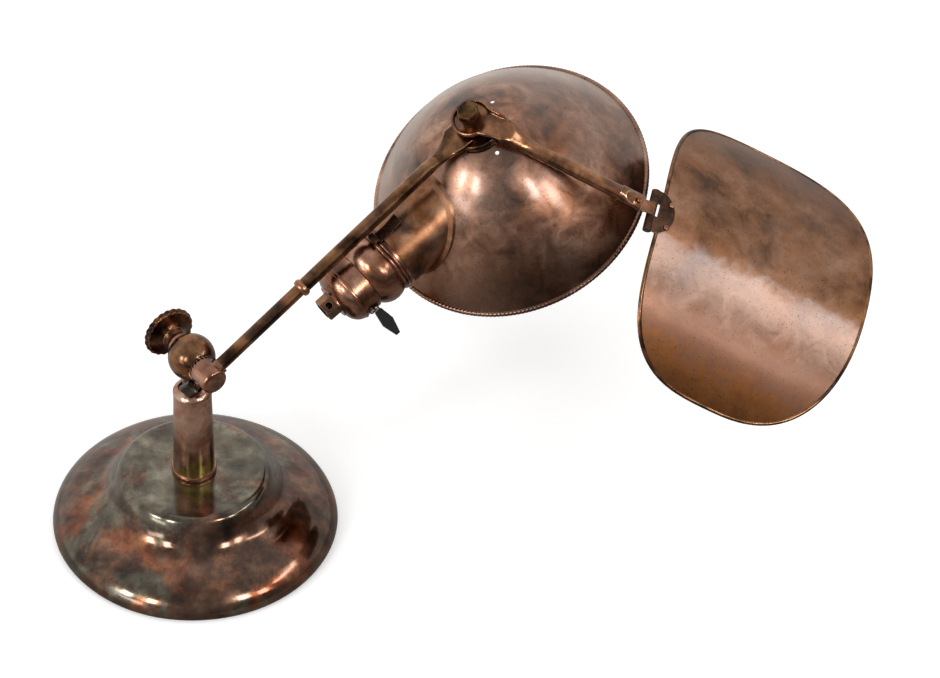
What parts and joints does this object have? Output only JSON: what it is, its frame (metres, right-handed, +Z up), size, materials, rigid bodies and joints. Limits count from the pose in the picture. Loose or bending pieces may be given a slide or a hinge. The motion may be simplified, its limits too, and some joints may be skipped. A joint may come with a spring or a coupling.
{
  "type": "desk lamp",
  "caption": "Adjustable desk lamp with a weighted round base, a toothed clutch arm, a deep dome shade with a side socket, and a hinged bent shield on its own arm.",
  "frame": {"origin": "middle of the felt's underside, on the axis of the column", "axes": "+Z up along the column; the arm rises towards +X and +Y, and the clutch knob points towards -X and +Y"},
  "size_m": [0.4714, 0.2684, 0.2534],
  "materials": {
    "aged_base_plate": "worn copper plate over nickel, mottled",
    "aged_copper": "aged copper plate on spun brass, satin with bright worn edges",
    "dark_copper": "dark copper patina, satin",
    "darkened_steel": "darkened steel with worn edges",
    "bare_brass": "unplated brass",
    "nickel": "nickel plate",
    "cast_iron": "raw casting",
    "felt": "pressed felt",
    "black_plastic": "polished moulded",
    "liner_board": "insulating fibre board",
    "porcelain": "glazed"
  },
  "bodies": {
    "base": {"base_shell": "aged_base_plate", "base_weight": "cast_iron", "base_felt": "felt", "base_nipple": "darkened_steel", "base_washer": "darkened_steel", "base_nut": "darkened_steel", "column_plug": "bare_brass", "column_tube": "aged_copper", "column_foot_ring": "aged_copper", "column_bush": "bare_brass", "column_cap": "aged_copper"},
    "knuckle": {"swivel_post": "darkened_steel", "post_collar": "darkened_steel", "knuckle_ball": "aged_copper", "lock_screw": "darkened_steel", "neck_pin": "aged_copper", "knob_washer": "bare_brass"},
    "knob": {"clutch_knob": "dark_copper"},
    "main_arm": {"arm_barrel": "aged_copper", "clutch_bolt": "darkened_steel", "arm_lower_rod": "dark_copper", "arm_ring": "dark_copper", "arm_upper_tube": "dark_copper"},
    "shade": {"shade_dome": "aged_copper", "shade_rim": "aged_copper", "pivot_disc": "bare_brass", "lock_washer": "darkened_steel", "pivot_spacer": "dark_copper", "bolt_collar": "darkened_steel", "backing_plate": "darkened_steel", "nut_washer": "darkened_steel", "pivot_nut": "darkened_steel", "pivot_bolt": "darkened_steel", "collar_tube": "aged_copper", "collar_flange": "aged_copper", "socket_shell": "aged_copper", "socket_cap": "aged_copper", "cap_disc": "bare_brass", "cap_boss": "bare_brass", "socket_screw": "nickel", "insulating_liner": "liner_board", "socket_insulator": "porcelain", "screw_shell": "bare_brass", "centre_contact": "bare_brass", "terminal_screws": "bare_brass", "switch_contact": "bare_brass", "latch_clip": "dark_copper"},
    "switch": {"switch_shaft": "nickel", "switch_key": "black_plastic"},
    "shield_arm": {"shield_arm_tube": "aged_copper", "hinge_sleeve": "aged_copper", "sleeve_rivet": "aged_copper"},
    "shield": {"hinge_pin": "darkened_steel", "shield_plate": "aged_copper", "shield_bead": "aged_copper", "hinge_leaf": "darkened_steel", "leaf_rivets": "aged_copper"}
  },
  "joints": [
    {"name": "column_swivel", "type": "hinge", "parent": "base", "child": "knuckle", "pos_m": [0, 0, 0.1045], "axis": [0, 0, 1], "range_deg": [-170, 170]},
    {"name": "arm_clutch", "type": "hinge", "parent": "knuckle", "child": "main_arm", "pos_m": [0, 0, 0.132], "axis": [0.5563, -0.831, 0], "range_deg": [-12, 70]},
    {"name": "clutch_knob", "type": "hinge", "parent": "knuckle", "child": "knob", "pos_m": [0, 0, 0.132], "axis": [-0.5563, 0.831, 0], "continuous": true},
    {"name": "shade_swivel", "type": "hinge", "parent": "main_arm", "child": "shade", "pos_m": [0.15978, 0.08519, 0.2332], "axis": [-0.2738, -0.2993, 0.914], "range_deg": [-30, 30]},
    {"name": "shield_arm_swing", "type": "hinge", "parent": "shade", "child": "shield_arm", "pos_m": [0.15978, 0.08519, 0.2332], "axis": [-0.2738, -0.2993, 0.914], "range_deg": [-20, 90]},
    {"name": "shield_hinge", "type": "hinge", "parent": "shield_arm", "child": "shield", "pos_m": [0.25975, 0.05368, 0.19922], "axis": [0.2145, 0.9299, 0.2988], "range_deg": [-90, 45]},
    {"name": "switch_key", "type": "hinge", "parent": "shade", "child": "switch", "pos_m": [0.09142, 0.03768, 0.15505], "axis": [0.673, -0.509, -0.5367], "continuous": true}
  ]
}
